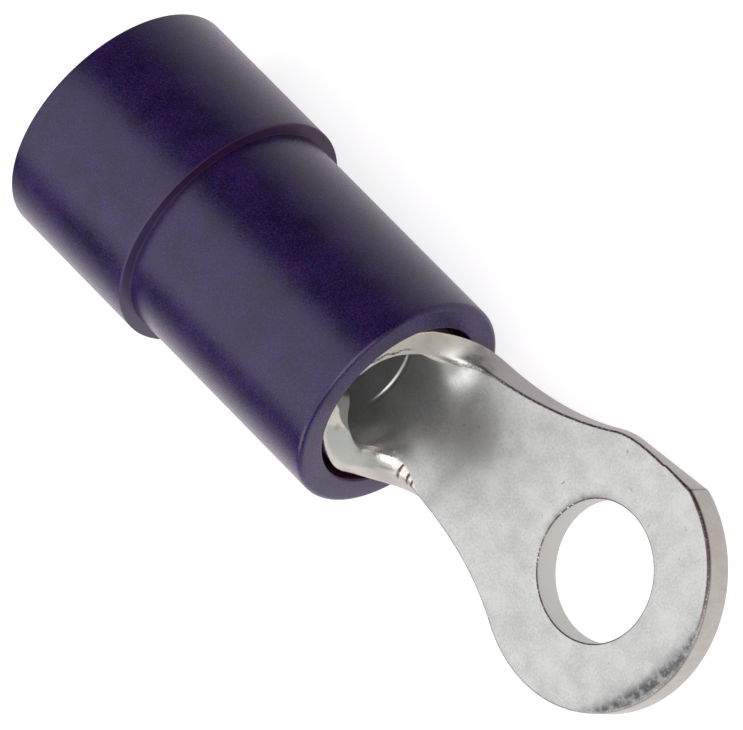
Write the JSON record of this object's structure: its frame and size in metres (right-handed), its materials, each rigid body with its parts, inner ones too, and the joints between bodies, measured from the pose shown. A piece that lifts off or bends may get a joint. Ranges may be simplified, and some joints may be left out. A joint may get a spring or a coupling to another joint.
{
  "type": "ring terminal",
  "caption": "Insulated ring terminal: a flat tongue with a stud hole, a rolled barrel that is crimped on a wire, and a stepped plastic sleeve with a wider cable end.",
  "frame": {"origin": "centre of the stud hole, on the underside of the tongue", "axes": "+X from the wire barrel to the tip of the ring, +Z along the stud hole, out of the open side of the trough; +Y completes a right-handed frame"},
  "size_m": [0.0393, 0.0126, 0.0124],
  "materials": {
    "tinned_copper": "matte electroplated tin, slightly mottled",
    "blue_nylon": "semi-gloss moulded nylon, dark indigo"
  },
  "bodies": {
    "root": {"terminal": "tinned_copper", "sleeve": "blue_nylon"}
  },
  "joints": []
}
